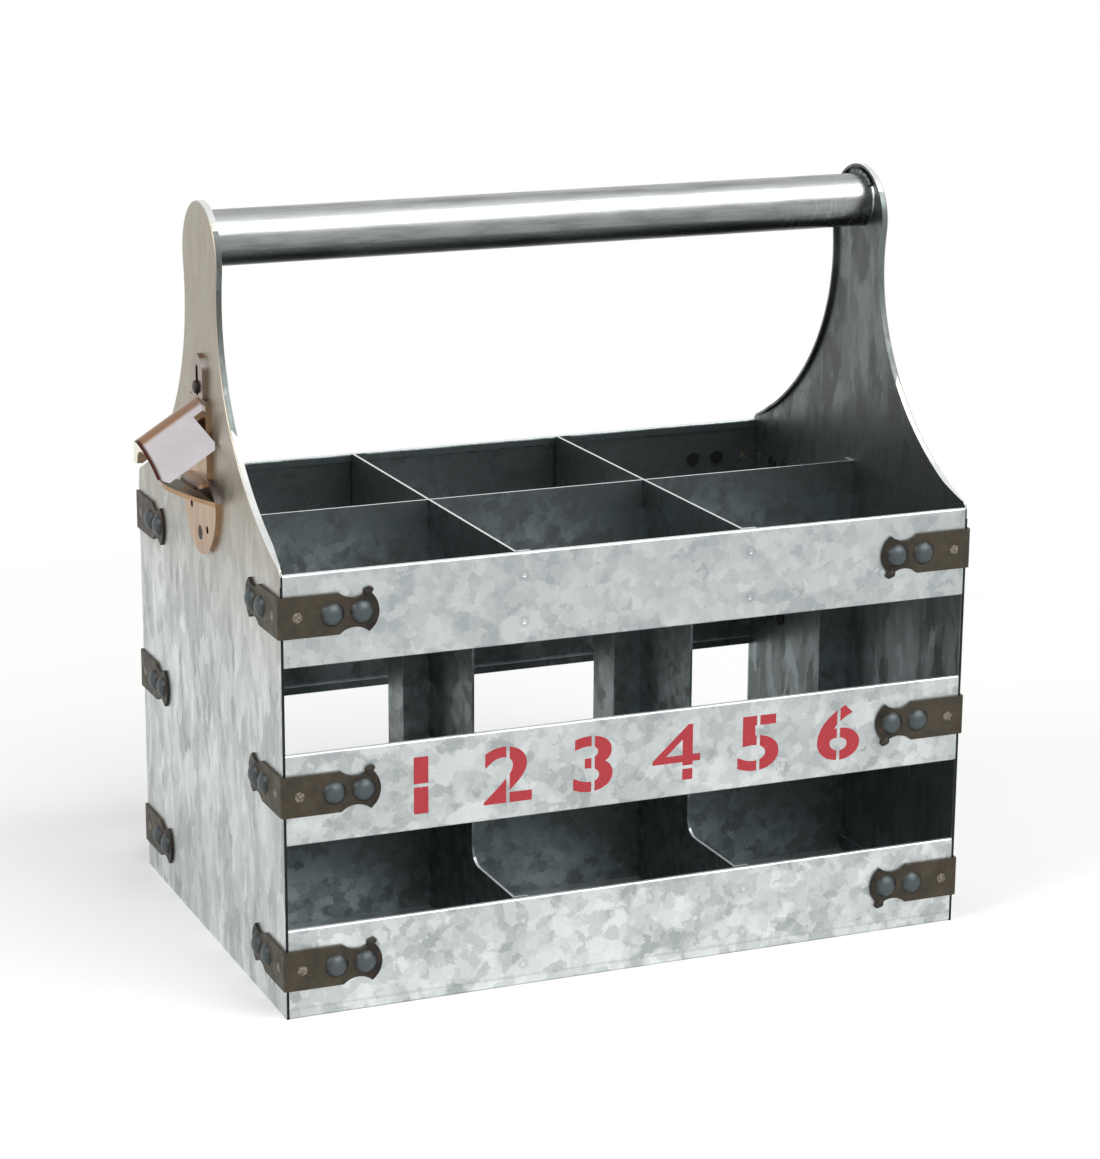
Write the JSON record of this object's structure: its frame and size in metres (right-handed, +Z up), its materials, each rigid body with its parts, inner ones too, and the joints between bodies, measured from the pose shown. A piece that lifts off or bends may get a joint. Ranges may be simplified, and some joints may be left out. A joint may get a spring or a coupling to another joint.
{
  "type": "bottle caddy",
  "caption": "Galvanised sheet caddy for bottles, with slatted sides, crossed dividers, riveted corner straps, a tube handle and a bottle opener on one end.",
  "frame": {"origin": "middle of the base, on the ground", "axes": "+X along the handle, away from the end with the bottle opener; +Y towards the rear; +Z up"},
  "size_m": [0.3656, 0.2232, 0.344],
  "materials": {
    "galvanised": "galvanised sheet with zinc spangle, satin",
    "handle_zinc": "galvanised tube, brighter and smoother than the sheet",
    "strap_iron": "dark olive-brown oxidised iron, satin",
    "rivet_iron": "dark grey blackened iron, satin",
    "opener_copper": "pressed steel with copper-coloured plating, polished"
  },
  "bodies": {
    "root": {"base_tray": "galvanised", "bottle_opener": "opener_copper", "front_bottom_slat": "galvanised", "front_left_bottom_rivets": "rivet_iron", "front_left_bottom_strap": "strap_iron", "front_left_middle_rivets": "rivet_iron", "front_left_middle_strap": "strap_iron", "front_left_pins": "rivet_iron", "front_left_top_rivets": "rivet_iron", "front_left_top_strap": "strap_iron", "front_middle_slat": "galvanised", "front_right_bottom_rivets": "rivet_iron", "front_right_bottom_strap": "strap_iron", "front_right_middle_rivets": "rivet_iron", "front_right_middle_strap": "strap_iron", "front_right_pins": "rivet_iron", "front_right_top_rivets": "rivet_iron", "front_right_top_strap": "strap_iron", "front_top_slat": "galvanised", "handle_tube": "handle_zinc", "left_cross_divider": "galvanised", "left_end_panel": "galvanised", "long_divider": "galvanised", "opener_rivets": "rivet_iron", "rear_bottom_slat": "galvanised", "rear_left_bottom_rivets": "rivet_iron", "rear_left_bottom_strap": "strap_iron", "rear_left_middle_rivets": "rivet_iron", "rear_left_middle_strap": "strap_iron", "rear_left_pins": "rivet_iron", "rear_left_top_rivets": "rivet_iron", "rear_left_top_strap": "strap_iron", "rear_middle_slat": "galvanised", "rear_right_bottom_rivets": "rivet_iron", "rear_right_bottom_strap": "strap_iron", "rear_right_middle_rivets": "rivet_iron", "rear_right_middle_strap": "strap_iron", "rear_right_pins": "rivet_iron", "rear_right_top_rivets": "rivet_iron", "rear_right_top_strap": "strap_iron", "rear_top_slat": "galvanised", "right_cross_divider": "galvanised", "right_end_panel": "galvanised"}
  },
  "joints": []
}
